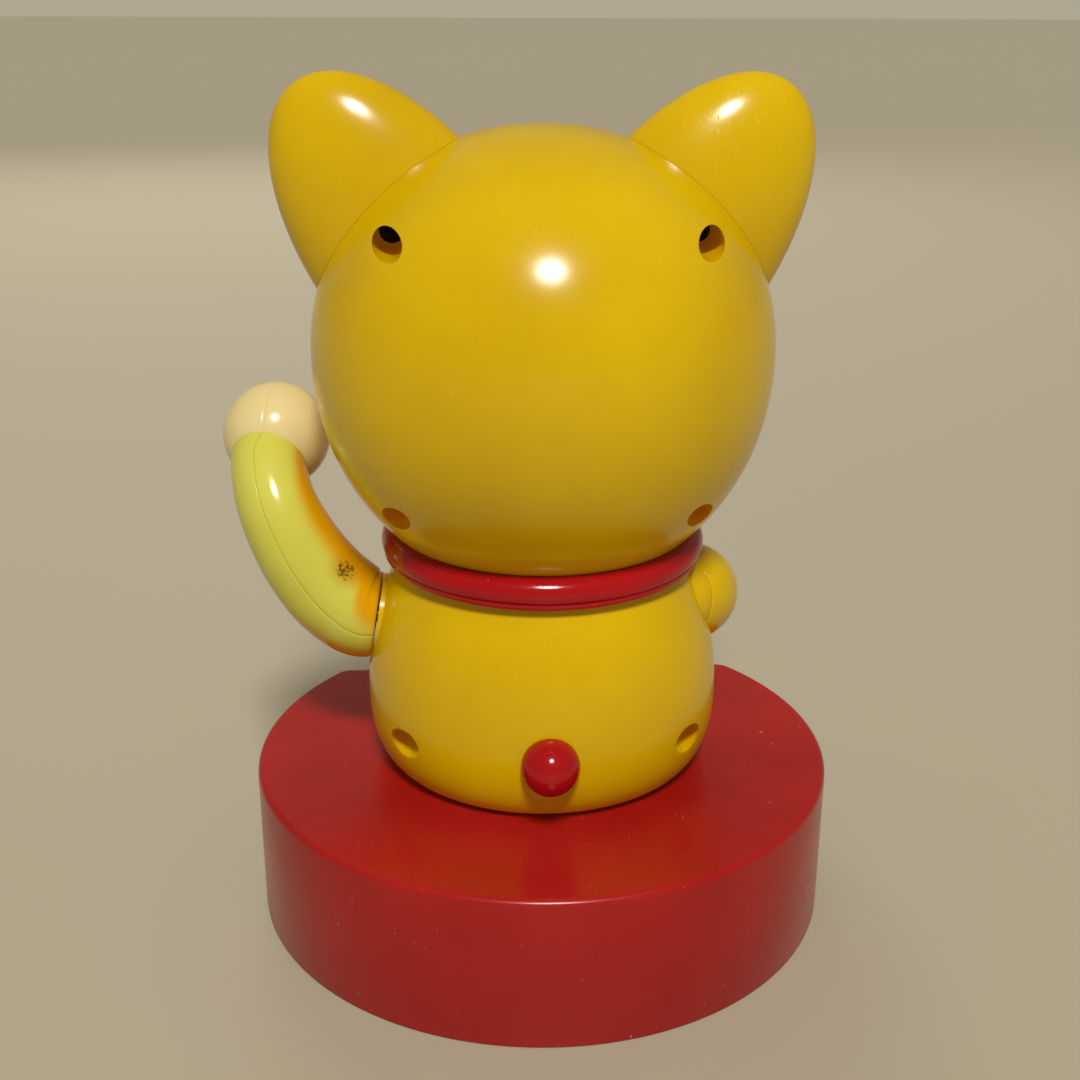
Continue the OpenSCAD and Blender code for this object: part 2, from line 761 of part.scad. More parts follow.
module fourth_wheel() { color(brass) wheel_at(fourth_x, second_z, -20.6, -19.6, fast_module, -up, arbor_r); }
module fourth_arbor() {
    color(steel) {
        arbor(fourth_x, second_z, front_plate_y - 0.4, rear_plate_y + plate_t + 0.4);
        pinion_on(fourth_x, second_z, -29, -26.8, fast_module, 180 + up);
    }
}
module governor_arbor() {
    color(steel) {
        arbor(governor_x, motor_z, front_plate_y - 0.4, rear_plate_y + plate_t + 0.4);
        pinion_on(governor_x, motor_z, -21.2, -19, fast_module, 180 - up);
    }
}
module governor_fly() {
    color(steel) difference() {
        union() {
            y_rod(governor_x, motor_z, -33, -24, 1.9);
            translate([governor_x - 7, -32.5, motor_z - 0.3]) cube([14, 8, 0.6]);
        }
        y_rod(governor_x, motor_z, -40, -10, arbor_r);
    }
}

// ---- pushrod from the crank up to the shaft's lever ----
pin_z = shoulder[2] + pin_at * sin(shoulder_tilt);
yoke_c = 0.45;
module pushrod() {
    color(steel) difference() {
        union() {
            translate([rod_x - 5.4, rod_y - 0.6, motor_z - 3.2]) cube([9.4, 1.2, 6.4]);
            translate([rod_x - 2.2, rod_y - 0.6, motor_z]) cube([4.4, 1.2, pin_z - motor_z]);
            translate([rod_x - 1.5, rod_y - 2.6, pin_z - 3.6]) cube([2.9, 5.6, 7.2]);
        }
        translate([rod_x - 3.6, rod_y - 2, motor_z - 1.1 - yoke_c]) cube([5.6, 4, 2.2 + 2 * yoke_c]);
        translate([rod_x - 5, rod_y - 1.7, pin_z - 1.8]) cube([10, 3.8, 3.6]);
        // set back so that the lever's end passes beside it
        translate([rod_x + 0.9, rod_y - 3, pin_z - 9]) cube([4, 7, 14]);
    }
}

base_shell();
base_cover();
cover_screws();
figure_screws();
body_rear();
body_front();
body_screws();
collar();
neck_spool();
head_rear();
head_front();
head_screws();
ear_left();
ear_right();
ear_lining_left();
ear_lining_right();
eye_left();
eye_right();
nose();
mouth();
whiskers();
tail_ball();
tail_screw();
right_arm();
right_paw();
foot_left();
foot_right();
shoulder_bush();
shaft_bracket();
bracket_screws();
motor_front_plate();
motor_rear_plate();
motor_pillars();
motor_screws();
mainspring();
rod_guide();
winding_key();
winding_arbor();
ratchet_wheel();
great_wheel();
click_stud();
click();
second_wheel();
second_arbor();
crank_wheel();
crank_arbor();
crank_disc();
fourth_wheel();
fourth_arbor();
governor_arbor();
governor_fly();
pushrod();
arm_outer();
arm_inner();
left_paw();
arm_shaft();
shaft_lever();
shaft_clip();
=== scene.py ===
import math
import bpy
import bmesh
from mathutils import Matrix, Vector


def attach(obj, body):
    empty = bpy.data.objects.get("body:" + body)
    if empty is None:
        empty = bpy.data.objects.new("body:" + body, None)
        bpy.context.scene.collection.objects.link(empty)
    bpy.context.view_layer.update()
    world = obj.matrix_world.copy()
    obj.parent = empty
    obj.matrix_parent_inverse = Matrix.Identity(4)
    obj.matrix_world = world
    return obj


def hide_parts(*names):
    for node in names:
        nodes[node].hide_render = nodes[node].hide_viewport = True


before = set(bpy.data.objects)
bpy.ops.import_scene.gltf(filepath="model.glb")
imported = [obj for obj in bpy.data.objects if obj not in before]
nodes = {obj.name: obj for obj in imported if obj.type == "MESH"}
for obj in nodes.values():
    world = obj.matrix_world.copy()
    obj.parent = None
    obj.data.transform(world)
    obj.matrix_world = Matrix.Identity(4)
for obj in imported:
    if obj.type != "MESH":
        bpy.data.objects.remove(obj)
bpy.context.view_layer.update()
mm = 0.001
weld = 1e-6  # vertices closer than this, in metres, are one
yAxis = Vector((0, 1, 0))
zAxis = Vector((0, 0, 1))
print("frame loaded:", len(nodes), "nodes")


# colours and shader nodes
def hexColour(text):
    # sRGB hex to linear RGBA
    channels = []
    for i in (0, 2, 4):
        c = int(text[i:i + 2], 16) / 255
        channels.append(c / 12.92 if c <= 0.04045 else ((c + 0.055) / 1.055) ** 2.4)
    return (*channels, 1.0)


def addNode(tree, kind, settings=None, inputs=None, links=None):
    node = tree.nodes.new(kind)
    for key, value in (settings or {}).items():
        setattr(node, key, value)
    for key, value in (inputs or {}).items():
        node.inputs[key].default_value = value
    for key, source in (links or {}).items():
        tree.links.new(source, node.inputs[key])
    return node


def startMaterial(name):
    mat = bpy.data.materials.new(name)
    mat.use_nodes = True
    tree = mat.node_tree
    shader = tree.nodes["Principled BSDF"]
    coords = addNode(tree, "ShaderNodeTexCoord").outputs["Object"]
    return mat, tree, shader, coords


def ramp(tree, source, stops):
    node = addNode(tree, "ShaderNodeValToRGB", links={"Fac": source})
    elements = node.color_ramp.elements
    while len(elements) < len(stops):
        elements.new(0.5)
    for element, (place, colour) in zip(elements, stops):
        element.position = place
        element.color = colour
    return node.outputs["Color"]


def grey(v):
    return (v, v, v, 1.0)


def mixColour(tree, factor, a, b, blend="MIX"):
    node = addNode(tree, "ShaderNodeMix", {"data_type": "RGBA", "blend_type": blend})
    for socket, value in ((0, factor), (6, a), (7, b)):
        if isinstance(value, (tuple, float, int)):
            node.inputs[socket].default_value = value
        else:
            tree.links.new(value, node.inputs[socket])
    return node.outputs[2]


# the toy's plastics, metals and inks
def mouldedPlastic(name, base, deep, pale, rough, subsurface=0.0, wave=0.05, scuffs=0.25, paintedGlow=None):
    # injection-moulded plastic: even colour, wet-looking gloss, faint sink waves, dust and hair scuffs, and
    # optionally a painted orange glow in recesses
    # noise scales are per metre: clouds 36 mm, worn patches 17 mm, dust 1.1 mm, hairs 0.7 mm, grain 0.4 mm
    mat, tree, shader, coords = startMaterial(name)
    cloud = addNode(tree, "ShaderNodeTexNoise", inputs={"Scale": 28.0, "Detail": 3.0, "Roughness": 0.5},
                    links={"Vector": coords}).outputs["Fac"]
    body = ramp(tree, cloud, [(0.3, hexColour(deep)), (0.5, hexColour(base)), (0.72, hexColour(pale))])
    dust = addNode(tree, "ShaderNodeTexNoise", inputs={"Scale": 900.0, "Detail": 2.0},
                   links={"Vector": coords}).outputs["Fac"]
    dustMask = ramp(tree, dust, [(0.74, grey(0.0)), (0.8, grey(0.3))])
    dusted = mixColour(tree, dustMask, body, hexColour("e8dcc0"))
    stretch = addNode(tree, "ShaderNodeMapping",
                      inputs={"Scale": (1.0, 1.0, 0.12), "Rotation": (0.5, 0.4, 0.3)},
                      links={"Vector": coords}).outputs["Vector"]
    hair = addNode(tree, "ShaderNodeTexNoise", inputs={"Scale": 1400.0, "Detail": 1.0},
                   links={"Vector": stretch}).outputs["Fac"]
    patch = addNode(tree, "ShaderNodeTexNoise", inputs={"Scale": 60.0, "Detail": 2.0},
                    links={"Vector": coords}).outputs["Fac"]
    patchMask = ramp(tree, patch, [(0.5, grey(0.0)), (0.68, grey(1.0))])
    hairMask = ramp(tree, hair, [(0.64, grey(0.0)), (0.7, grey(1.0))])
    scuffMask = addNode(tree, "ShaderNodeMath", {"operation": "MULTIPLY"},
                        links={0: patchMask, 1: hairMask}).outputs[0]
    roughness = addNode(tree, "ShaderNodeMapRange", inputs={"From Min": 0.0, "From Max": 1.0,
                        "To Min": rough, "To Max": rough + scuffs}, links={"Value": scuffMask}).outputs[0]
    tree.links.new(dusted, shader.inputs["Base Color"])
    shader.inputs["Specular IOR Level"].default_value = 0.3
    tree.links.new(roughness, shader.inputs["Roughness"])
    sink = addNode(tree, "ShaderNodeTexNoise", inputs={"Scale": 45.0, "Detail": 1.0},
                   links={"Vector": coords}).outputs["Fac"]
    grain = addNode(tree, "ShaderNodeTexNoise", inputs={"Scale": 2600.0, "Detail": 1.0},
                    links={"Vector": coords}).outputs["Fac"]
    low = addNode(tree, "ShaderNodeBump", inputs={"Strength": wave, "Distance": 1.2 * mm},
                  links={"Height": sink}).outputs["Normal"]
    fine = addNode(tree, "ShaderNodeBump", inputs={"Strength": 0.03, "Distance": 0.05 * mm},
                   links={"Height": grain, "Normal": low}).outputs["Normal"]
    tree.links.new(fine, shader.inputs["Normal"])
    shader.inputs["IOR"].default_value = 1.53
    if subsurface:
        shader.inputs["Subsurface Weight"].default_value = subsurface
        shader.inputs["Subsurface Scale"].default_value = 2.5 * mm
        shader.inputs["Subsurface Radius"].default_value = (1.0, 0.55, 0.1)
    if paintedGlow:
        # painted glow: an orange emission in occluded recesses and creases stands in for light leaking
        # through the thin wall
        shade = addNode(tree, "ShaderNodeAmbientOcclusion", {"samples": 6},
                        {"Distance": 9 * mm}).outputs["AO"]
        paintedGlowStrength = addNode(tree, "ShaderNodeMapRange", inputs={"From Min": 0.6, "From Max": 0.1, "To Max": 0.2},
                       links={"Value": shade}).outputs[0]
        tree.links.new(paintedGlowStrength, shader.inputs["Emission Strength"])
        shader.inputs["Emission Color"].default_value = hexColour(paintedGlow)
    return mat, tree, shader, coords, dusted


yellowAbs = mouldedPlastic("mouldedAbsYellow", "d8b200", "d0a900", "dfba00", 0.19, 0.25, paintedGlow="a56210")[0]
redAbs = mouldedPlastic("mouldedAbsRed", "a01514", "96100e", "a81a18", 0.24, 0.0, 0.03, 0.3)[0]
collarAbs = mouldedPlastic("mouldedAbsCherry", "a80c14", "9e0910", "b21019", 0.14, 0.0, 0.03, 0.15)[0]
creamAbs = mouldedPlastic("mouldedPvcCream", "e4d094", "dcc688", "ead8a0", 0.22, 0.1, 0.04, 0.2)[0]


def metal(name, colour, dark, rough, scale):
    # rolled or turned metal: fine brush lines that catch the light along one direction
    mat, tree, shader, coords = startMaterial(name)
    lines = addNode(tree, "ShaderNodeMapping", inputs={"Scale": (0.08, 1.0, 1.0)},
                    links={"Vector": coords}).outputs["Vector"]
    streak = addNode(tree, "ShaderNodeTexNoise", inputs={"Scale": scale, "Detail": 3.0},
                     links={"Vector": lines}).outputs["Fac"]
    tree.links.new(ramp(tree, streak, [(0.3, hexColour(dark)), (0.7, hexColour(colour))]),
                   shader.inputs["Base Color"])
    roughness = addNode(tree, "ShaderNodeMapRange", inputs={"From Min": 0.3, "From Max": 0.7,
                        "To Min": rough, "To Max": rough + 0.15}, links={"Value": streak}).outputs[0]
    tree.links.new(roughness, shader.inputs["Roughness"])
    bump = addNode(tree, "ShaderNodeBump", inputs={"Strength": 0.08, "Distance": 0.05 * mm},
                   links={"Height": streak}).outputs["Normal"]
    tree.links.new(bump, shader.inputs["Normal"])
    shader.inputs["Metallic"].default_value = 1.0
    return mat


steelBright = metal("zincPlatedSteel", "b9bcc0", "8e9196", 0.25, 2200.0)
springSteel = metal("bluedSpringSteel", "5a5e68", "3c3f48", 0.3, 2600.0)
brassSheet = metal("rolledBrass", "d8b25a", "a8853a", 0.25, 2200.0)
screwBlack = metal("blackOxideSteel", "35302b", "201c18", 0.4, 2200.0)


def printedInk(name, base, deep):
    # pad-printed ink: thin, slightly matte, with a faint screen unevenness
    mat, tree, shader, coords = startMaterial(name)
    cloud = addNode(tree, "ShaderNodeTexNoise", inputs={"Scale": 600.0, "Detail": 3.0},
                    links={"Vector": coords}).outputs["Fac"]
    tree.links.new(ramp(tree, cloud, [(0.35, hexColour(deep)), (0.65, hexColour(base))]),
                   shader.inputs["Base Color"])
    roughness = addNode(tree, "ShaderNodeMapRange", inputs={"To Min": 0.22, "To Max": 0.38},
                        links={"Value": cloud}).outputs[0]
    tree.links.new(roughness, shader.inputs["Roughness"])
    return mat


blackInk = printedInk("padPrintBlack", "17130f", "0c0a08")
brownInk = printedInk("padPrintBrown", "4a2412", "3a1a0c")
print("materials made")


# making, turning and cutting meshes
def finishPiece(name, bm, material, body, stands, sharpAngle=40):
    bmesh.ops.remove_doubles(bm, verts=bm.verts, dist=weld)
    bmesh.ops.recalc_face_normals(bm, faces=bm.faces)
    mesh = bpy.data.meshes.new(name)
    bm.to_mesh(mesh)
    bm.free()
    obj = bpy.data.objects.new(name, mesh)
    bpy.context.scene.collection.objects.link(obj)
    for poly in mesh.polygons:
        poly.use_smooth = True
    mesh.set_sharp_from_angle(angle=math.radians(sharpAngle))
    if material:
        mesh.materials.append(material)
    if body:
        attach(obj, body)
        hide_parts(*stands)
    return obj


def spun(points, steps, closed=False):
    # a form turned about Z: points are (radius, height) in metres
    bm = bmesh.new()
    verts = [bm.verts.new((r, 0, z)) for r, z in points]
    edges = [bm.edges.new((a, b)) for a, b in zip(verts, verts[1:])]
    if closed:
        edges.append(bm.edges.new((verts[-1], verts[0])))
    bmesh.ops.spin(bm, geom=verts + edges, cent=(0, 0, 0), axis=zAxis, dvec=(0, 0, 0),
                   angle=2 * math.pi, steps=steps, use_merge=True, use_duplicate=False)
    bmesh.ops.remove_doubles(bm, verts=bm.verts, dist=weld)
    return bm


def closeEnds(bm):
    rim = [e for e in bm.edges if e.is_boundary]
    if rim:
        bmesh.ops.triangle_fill(bm, use_beauty=True, use_dissolve=False, edges=rim)


def rod(start, end, radius, segments=48):
    # a closed cylinder between two points, used as a cutter
    start, end = Vector(start), Vector(end)
    bm = bmesh.new()
    turn = zAxis.rotation_difference((end - start).normalized()).to_matrix().to_4x4()
    bmesh.ops.create_cone(bm, cap_ends=True, segments=segments, radius1=radius, radius2=radius,
                          depth=(end - start).length, matrix=Matrix.Translation((start + end) / 2) @ turn)
    return bm


def looseObject(name, bm):
    bmesh.ops.recalc_face_normals(bm, faces=bm.faces)
    mesh = bpy.data.meshes.new(name)
    bm.to_mesh(mesh)
    bm.free()
    obj = bpy.data.objects.new(name, mesh)
    bpy.context.scene.collection.objects.link(obj)
    return obj


def combine(bm, steps, rim=None, rimWidth=0.3 * mm):
    # runs booleans: steps are (operation, cutter bmesh); rim tells which cut edges are rounded
    target = looseObject("work", bm)
    for operation, cutter in steps:
        tool = looseObject("tool", cutter)
        mod = target.modifiers.new("cut", "BOOLEAN")
        mod.operation = operation
        mod.solver = "EXACT"
        mod.object = tool
        deps = bpy.context.evaluated_depsgraph_get()
        deps.update()
        mesh = bpy.data.meshes.new_from_object(target.evaluated_get(deps))
        target.modifiers.clear()
        old = target.data
        target.data = mesh
        bpy.data.meshes.remove(old)
        toolMesh = tool.data
        bpy.data.objects.remove(tool)
        bpy.data.meshes.remove(toolMesh)
    out = bmesh.new()
    out.from_mesh(target.data)
    mesh = target.data
    bpy.data.objects.remove(target)
    bpy.data.meshes.remove(mesh)
    bmesh.ops.remove_doubles(out, verts=out.verts, dist=2e-6)
    if rim:
        picked = [e for e in out.edges if e.is_manifold and e.calc_face_angle(0) > math.radians(25)
                  and all(rim(v.co) for v in e.verts)]
        if picked:
            bmesh.ops.bevel(out, geom=picked, offset=rimWidth, offset_type="OFFSET", segments=3,
                            profile=0.5, affect="EDGES", clamp_overlap=True, material=-1)
    return out


# turned outlines that the body and the head share with what is cut to them, in mm
bodyForm = {"belly": 36.2, "foot": 27.5, "bellyZ": 47.2, "floorZ": 31.4, "top": 76.5,
            "power": 2.4, "taper": 8.2, "span": 30.8, "wall": 2.2}
headForm = {"radius": 44.8, "z": 117.5, "up": 42.3, "down": 47.0, "cut": 77.0, "power": 2.07, "wall": 2.2}


def headPoint(t, wall=0.0):
    # t runs from -90 at the chin to 90 at the crown
    h = headForm
    rise = h["up"] if t > 0 else h["down"]
    s = math.sin(math.radians(abs(t)))
    c = math.cos(math.radians(t))
    r = (h["radius"] - wall) * max(c, 0) ** (2 / h["power"])
    z = h["z"] + math.copysign((rise - wall) * s ** (2 / h["power"]), t)
    return r * mm, z * mm


def headOutline(wall, lowest):
    points = [headPoint(-90 + 180 * i / 110, wall) for i in range(111)]
    kept = [p for p in points if p[1] > lowest * mm]
    below = [p for p in points if p[1] <= lowest * mm][-1]
    f = (lowest * mm - below[1]) / (kept[0][1] - below[1])
    kept.insert(0, (below[0] + f * (kept[0][0] - below[0]), lowest * mm))
    kept[-1] = (0.0, kept[-1][1])
    return kept


def bodyOutline(wall, lift, top):
    b = bodyForm
    low = b["floorZ"] + lift
    points = []
    for i in range(25):
        t = math.radians(90 * (1 - i / 24))
        points.append(((b["foot"] - wall + (b["belly"] - b["foot"]) * math.cos(t) ** (2 / b["power"])) * mm,
                       (b["bellyZ"] - (b["bellyZ"] - low) * math.sin(t) ** (2 / b["power"])) * mm))
    for i in range(1, 25):
        z = b["bellyZ"] + (top - b["bellyZ"]) * i / 24
        waist = b["taper"] * ((z - b["bellyZ"]) / b["span"]) ** 2
        points.append(((b["belly"] - wall - waist) * mm, z * mm))
    return points


# the base: a hollow D-shaped tub, in mm
base = {"radius": 60.0, "front": 39.0, "corner": 4.0, "height": 31.4, "edge": 1.3, "wall": 2.2,
        "footEdge": 0.4, "keyHole": 2.8, "keyX": -16.79, "keyZ": 15.6}


def dOutline(inset, step=1.5):
    # the D seen from above: one arc, two corner rounds and the flat front
    r = base["radius"] - inset
    c = base["corner"] - inset * 0.5
    front = base["front"] - inset
    cx = math.sqrt((r - c) ** 2 - (front - c) ** 2)
    join = math.degrees(math.atan2(-(front - c), cx))
    points = []
    steps = int((180 - 2 * join) / step)
    for i in range(steps + 1):
        a = math.radians(join + (180 - 2 * join) * i / steps)
        points.append((r * math.cos(a), r * math.sin(a)))
    for i in range(1, 12):
        a = math.radians(180 - join + (90 + join) * i / 12)
        points.append((-cx + c * math.cos(a), -(front - c) + c * math.sin(a)))
    for i in range(12):
        a = math.radians(270 + (90 + join) * i / 12)
        points.append((cx + c * math.cos(a), -(front - c) + c * math.sin(a)))
    return [(x * mm, y * mm) for x, y in points]


def makeBase():
    bm = bmesh.new()
    face = bm.faces.new([bm.verts.new((x, y, 0)) for x, y in dOutline(0)])
    grown = bmesh.ops.extrude_face_region(bm, geom=[face])
    top = [v for v in grown["geom"] if isinstance(v, bmesh.types.BMVert)]
    bmesh.ops.translate(bm, verts=top, vec=(0, 0, base["height"] * mm))
    bmesh.ops.recalc_face_normals(bm, faces=bm.faces)
    edge = [e for e in bm.edges if all(v.co.z > (base["height"] - 1) * mm for v in e.verts)]
    bmesh.ops.bevel(bm, geom=edge, offset=base["edge"] * mm, offset_type="OFFSET", segments=8,
                    profile=0.5, affect="EDGES", clamp_overlap=True, material=-1)
    rim = [e for e in bm.edges if all(v.co.z < 0.01 * mm for v in e.verts)]
    bmesh.ops.bevel(bm, geom=rim, offset=base["footEdge"] * mm, offset_type="OFFSET", segments=3,
                    profile=0.5, affect="EDGES", clamp_overlap=True, material=-1)
    # a narrow ring of faces keeps the flat top's shading flat
    lid = max(bm.faces, key=lambda f: f.calc_center_median().z)
    bmesh.ops.inset_region(bm, faces=[lid], thickness=0.4 * mm)
    floor = min((f for f in bm.faces if len(f.verts) > 50), key=lambda f: f.calc_center_median().z)
    bmesh.ops.inset_region(bm, faces=[floor], thickness=(base["wall"] - base["footEdge"]) * mm)
    floor = min((f for f in bm.faces if len(f.verts) > 50), key=lambda f: f.calc_center_median().z)
    hollow = bmesh.ops.extrude_face_region(bm, geom=[floor])
    bmesh.ops.delete(bm, geom=[floor], context="FACES_ONLY")
    bmesh.ops.translate(bm, verts=[v for v in hollow["geom"] if isinstance(v, bmesh.types.BMVert)],
                        vec=(0, 0, (base["height"] - base["wall"]) * mm))
    x, z = base["keyX"] * mm, base["keyZ"] * mm
    outside, inside = -(base["front"] + 6) * mm, -(base["front"] - 5) * mm
    hole = rod((x, outside, z), (x, inside, z), base["keyHole"] * mm)
    bm = combine(bm, [("DIFFERENCE", hole)])
    return finishPiece("baseShell", bm, redAbs, "frame", ["base_shell"], 35)


makeBase()
print("base made")


# the head: two thin halves with screw posts and wells in the rear one, in mm
head = {"wells": ((28.3, 141.3), (28.2, 91.3)), "wellRadius": 2.8, "wellFloor": 5.0, "post": 4.4,
        "steps": 144, "neck": 12.05, "seam": 0.05}


def halfShell(bm, rear, seam):
    # keeps one side of the mould seam and closes the cut
    side = 1 if rear else -1
    everything = bm.verts[:] + bm.edges[:] + bm.faces[:]
    bmesh.ops.bisect_plane(bm, geom=everything, dist=1e-7, plane_co=(0, side * seam * mm, 0),
                           plane_no=(0, -side, 0), clear_outer=True)
    closeEnds(bm)
    bmesh.ops.recalc_face_normals(bm, faces=bm.faces)
    return bm


def headShell(rear):
    h, cut, wall = head, headForm["cut"], headForm["wall"]
    outer = list(reversed(headOutline(0, cut)))
    inner = headOutline(wall, cut + wall)
    profile = outer + [(h["neck"] * mm, cut * mm), (h["neck"] * mm, (cut + wall) * mm)] + inner
    bm = halfShell(spun(profile, h["steps"]), rear, h["seam"])
    steps = []
    if rear:
        for side in (-1, 1):
            for x, z in h["wells"]:
                x, z = side * x * mm, z * mm
                post = rod((x, 0.5 * mm, z), (x, 40 * mm, z), h["post"] * mm)
                solid = spun([(0.0, cut * mm)] + headOutline(0.3, cut), 96)
                steps.append(("UNION", combine(post, [("INTERSECT", solid)])))
                steps.append(("DIFFERENCE", rod((x, h["wellFloor"] * mm, z), (x, 60 * mm, z),
                                                h["wellRadius"] * mm)))

    def onRim(co):
        if not rear or co.y < 9 * mm:
            return False
        for x, z in h["wells"]:
            if abs(math.hypot(abs(co.x) - x * mm, co.z - z * mm) - h["wellRadius"] * mm) < 0.03 * mm:
                return True
        return False

    bm = combine(bm, steps, onRim, 0.35 * mm)
    name = "headRear" if rear else "headFront"
    finishPiece(name, bm, yellowAbs, "frame", ["head_rear" if rear else "head_front"], 32)


headShell(True)
headShell(False)
print("head made")


# the ears: leaning ellipsoids cut to the head, in mm
ear = {"x": 22.4, "z": 134.4, "long": 40.1, "wide": 20.3, "thick": 11.5, "lean": 54.4}


def makeEar(side, name, stands):
    bm = bmesh.new()
    e = ear
    turn = Matrix.Rotation(-side * math.radians(e["lean"]), 4, "Y")
    place = Matrix.Translation((side * e["x"] * mm, 0, e["z"] * mm)) @ turn
    size = Matrix.Diagonal((e["long"] * mm, e["thick"] * mm, e["wide"] * mm, 1))
    lay = Matrix.Rotation(math.radians(90), 4, "Y")  # poles at the ear's ends
    bmesh.ops.create_uvsphere(bm, u_segments=96, v_segments=80, radius=1, matrix=place @ size @ lay)
    solid = spun([(0.0, 77 * mm)] + headOutline(-0.04, 77), 144)
    bm = combine(bm, [("DIFFERENCE", solid)])
    finishPiece(name, bm, yellowAbs, "frame", [stands], 35)


makeEar(1, "earLeft", "ear_left")
makeEar(-1, "earRight", "ear_right")
print("ears made")


# the body: two thin halves with a shoulder boss and two screw wells, in mm
shoulder = {"at": Vector((34.2, 0, 61.8)), "tilt": 9.0, "radius": 8.8, "face": -0.35, "gap": 1.4,
            "bushSeat": 6.55, "bushBore": 4.0}
armAxis = Vector((math.cos(math.radians(shoulder["tilt"])), 0, math.sin(math.radians(shoulder["tilt"]))))
torso = {"wellX": 28.0, "wellZ": 43.7, "wellRadius": 2.8, "wellFloor": 6.0, "steps": 144}


def alongShoulder(start, end, radius, segments=72):
    a = (shoulder["at"] + armAxis * start) * mm
    b = (shoulder["at"] + armAxis * end) * mm
    return rod(a, b, radius * mm, segments)


def wholeBody():
    b, t = bodyForm, torso
    inner = bodyOutline(b["wall"], 2.2, b["top"] - b["wall"])
    profile = [(0.0, b["floorZ"] * mm)] + bodyOutline(0, 0, b["top"])
    profile += [(12.05 * mm, b["top"] * mm), (12.05 * mm, (b["top"] - b["wall"]) * mm)]
    profile += list(reversed(inner)) + [(0.0, (b["floorZ"] + 2.2) * mm)]
    face = shoulder["face"]
    steps = [("UNION", alongShoulder(-9, face, shoulder["radius"])),
             ("DIFFERENCE", alongShoulder(face, 12, shoulder["radius"] + shoulder["gap"])),
             ("DIFFERENCE", alongShoulder(-2.4, 1, shoulder["bushSeat"])),
             ("DIFFERENCE", alongShoulder(-12, 1, shoulder["bushBore"]))]
    for s in (-1, 1):
        x, z = s * t["wellX"] * mm, t["wellZ"] * mm
        post = rod((x, 0.5 * mm, z), (x, 40 * mm, z), 4.4 * mm)
        solid = spun([(0.0, 31.6 * mm)] + bodyOutline(0.3, 0.2, b["top"]) + [(0.0, b["top"] * mm)], 96)
        steps.append(("UNION", combine(post, [("INTERSECT", solid)])))
        steps.append(("DIFFERENCE", rod((x, t["wellFloor"] * mm, z), (x, 60 * mm, z),
                                        t["wellRadius"] * mm)))

    def onRim(co):
        near = abs(math.hypot(abs(co.x) - t["wellX"] * mm, co.z - t["wellZ"] * mm) - t["wellRadius"] * mm)
        return co.y > 9 * mm and near < 0.03 * mm

    return combine(spun(profile, t["steps"]), steps, onRim, 0.35 * mm)


def bodyShell(rear):
    bm = halfShell(wholeBody(), rear, 0.05)
    name = "bodyRear" if rear else "bodyFront"
    finishPiece(name, bm, yellowAbs, "frame", ["body_rear" if rear else "body_front"], 32)


bodyShell(True)
bodyShell(False)
print("body made")


# the collar and the tail, in mm
collar = {"ring": 29.4, "rise": 0.4, "round": 3.2, "beadRing": 31.2, "beadDrop": 1.6, "bead": 1.0,
          "z": 78.9, "lean": -2.3}


def makeCollar():
    c = collar
    points = [(24.0, 3.0)]
    for i in range(33):
        a = math.radians(125 - 147 * i / 32)
        points.append((c["ring"] + c["round"] * math.cos(a), c["rise"] + c["round"] * math.sin(a)))
    for i in range(15):
        a = math.radians(48 - 160 * i / 14)
        points.append((c["beadRing"] + c["bead"] * math.cos(a), -c["beadDrop"] + c["bead"] * math.sin(a)))
    points.append((24.0, -2.7))
    bm = spun([(r * mm, z * mm) for r, z in points], 192, closed=True)
    place = Matrix.Translation((0, 0, c["z"] * mm)) @ Matrix.Rotation(math.radians(c["lean"]), 4, "X")
    bmesh.ops.transform(bm, matrix=place, verts=bm.verts)
    finishPiece("collarRing", bm, collarAbs, "frame", ["collar"], 30)


def ball(centre, radius, notch=0.0, turn=None):
    # a turned ball; notch cuts a hair-fine mould line round its equator
    points = []
    for i in range(97):
        a = math.radians(-90 + 180 * i / 96)
        dip = notch * math.exp(-((math.degrees(a) / 0.9) ** 2))
        points.append(((radius - dip) * math.cos(a) * mm, (radius - dip) * math.sin(a) * mm))
    points[0], points[-1] = (0.0, -radius * mm), (0.0, radius * mm)
    bm = spun(points, 96)
    if turn is not None:
        bmesh.ops.transform(bm, matrix=turn, verts=bm.verts)
    bmesh.ops.translate(bm, verts=bm.verts, vec=Vector(centre) * mm)
    return bm


def bodySolid(grow=0.04):
    b = bodyForm
    return spun([(0.0, b["floorZ"] * mm)] + bodyOutline(-grow, 0, b["top"]) + [(0.0, b["top"] * mm)], 144)


makeCollar()
tail = {"centre": (0, 37.0, 45.7), "radius": 5.6}
bm = combine(ball(tail["centre"], tail["radius"]), [("DIFFERENCE", bodySolid())])
finishPiece("tailBall", bm, collarAbs, "frame", ["tail_ball"], 35)
print("collar and tail made")


# the arms, paws and feet, in mm
def smoothPath(knots, perSpan):
    # Catmull-Rom through (x, y, z, radius)
    points = []
    last = len(knots) - 1
    for i in range(last):
        a, b = knots[max(i - 1, 0)], knots[i]
        c, d = knots[i + 1], knots[min(i + 2, last)]
        for j in range(perSpan):
            t = j / perSpan
            points.append([0.5 * (2 * q + (r - p) * t + (2 * p - 5 * q + 4 * r - s) * t * t
                                  + (3 * q - p - 3 * r + s) * t ** 3) for p, q, r, s in zip(a, b, c, d)])
    points.append(list(knots[last]))
    return points


rimRows = 7  # rings that the rounded root edge adds before the arm's own


